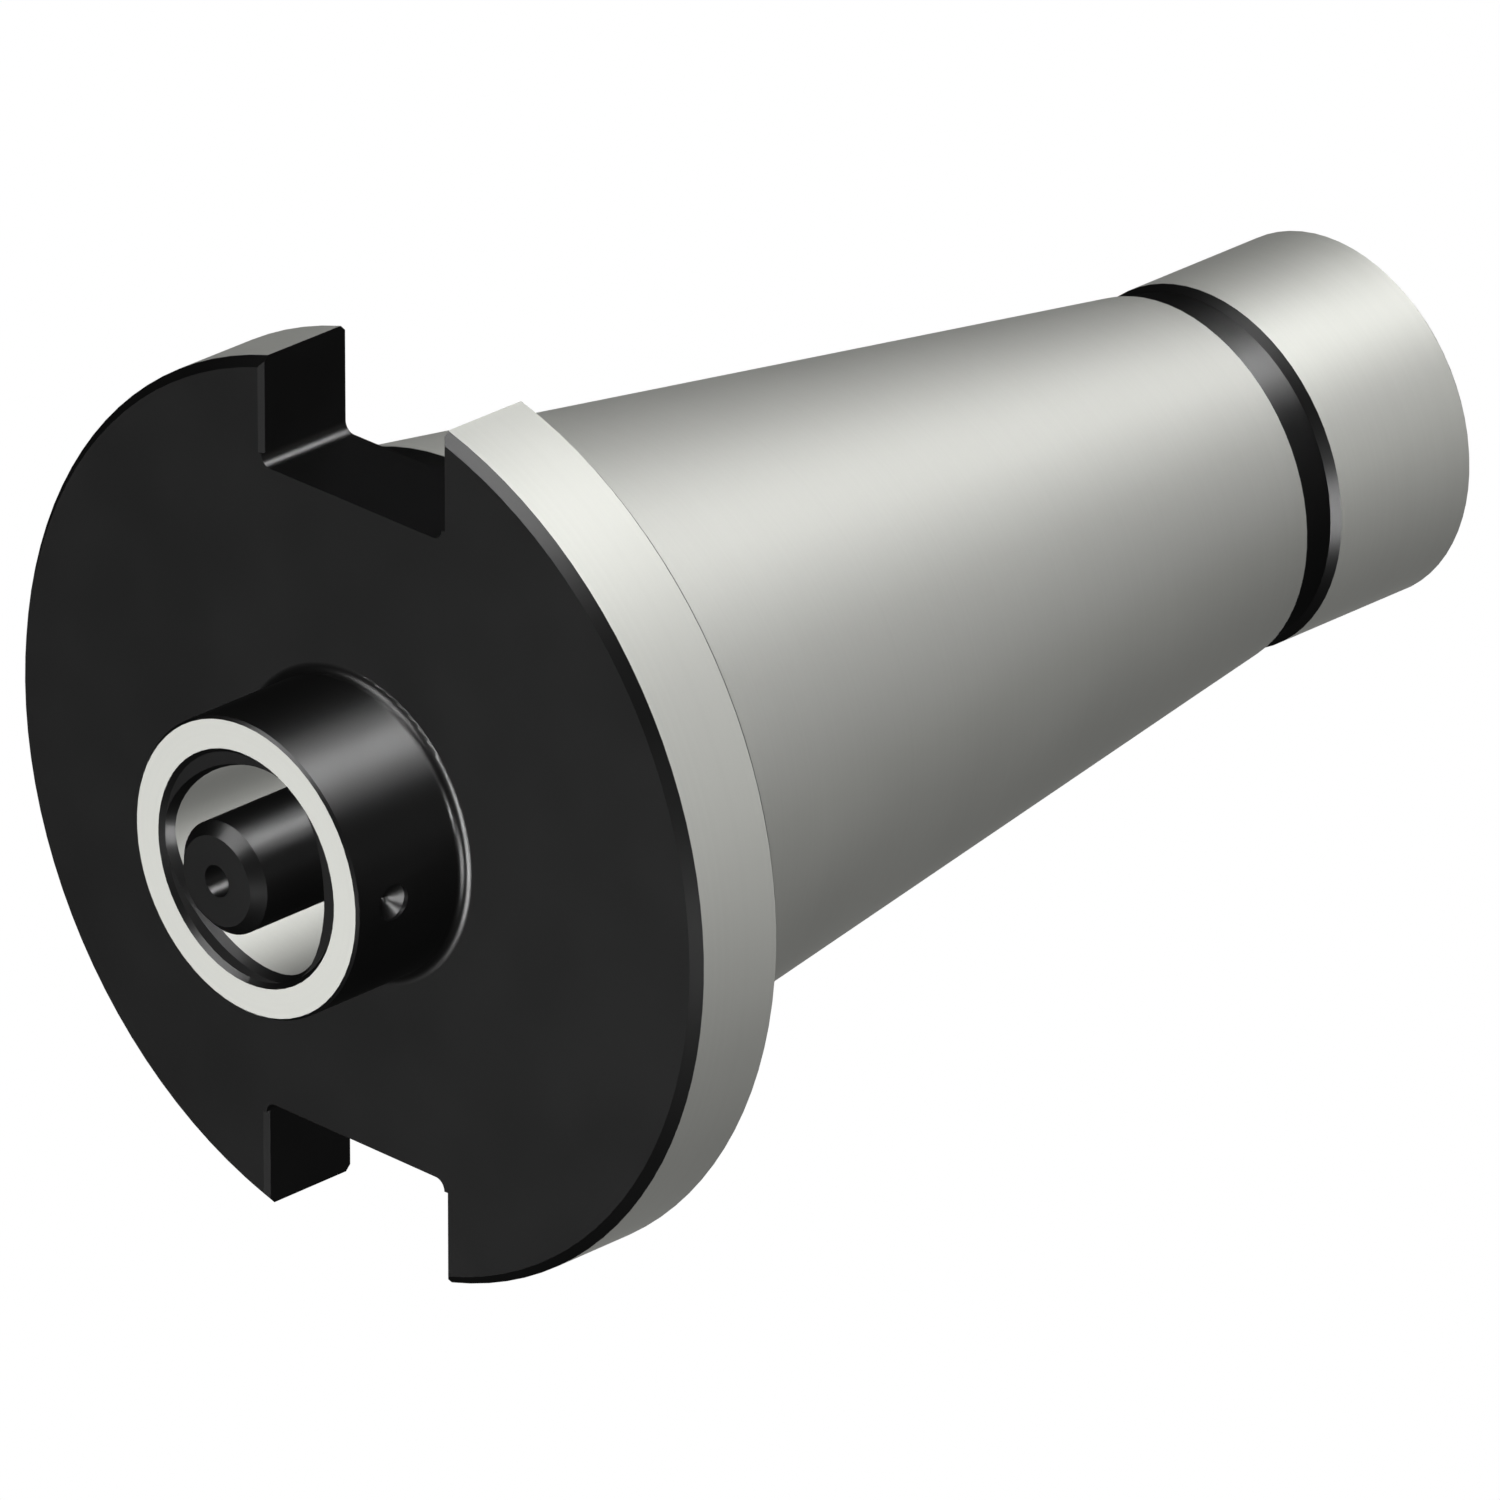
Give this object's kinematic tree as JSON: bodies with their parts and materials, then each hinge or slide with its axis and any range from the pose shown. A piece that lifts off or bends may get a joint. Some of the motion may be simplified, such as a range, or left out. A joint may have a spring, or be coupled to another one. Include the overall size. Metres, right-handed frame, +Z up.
{
  "type": "tool holder adapter",
  "caption": "Steep taper shank with a slotted flange and a short hub, whose three-lobed taper socket holds a tool that a captive centre bolt clamps.",
  "frame": {"origin": "centre of the gauge plane of the steep taper, where its diameter is 69.85 mm", "axes": "+Y along the tool axis from the nose to the drawbar end, +Z up through a drive slot, +X towards the drilled index mark"},
  "size_m": [0.0974, 0.1608, 0.094],
  "materials": {
    "body_steel": "ground on the fitting surfaces, blackened elsewhere",
    "bolt_steel": "blackened",
    "seal_rubber": "smooth",
    "spring_steel": "blackened"
  },
  "bodies": {
    "adapter": {"adapter_body": "body_steel", "retaining_ring": "spring_steel"},
    "bolt": {"center_bolt": "bolt_steel", "bolt_seal_ring": "seal_rubber"}
  },
  "joints": [
    {"name": "bolt_turn", "type": "hinge", "parent": "adapter", "child": "bolt", "pos_m": [0, 0, 0], "axis": [0, 1, 0], "continuous": true}
  ]
}
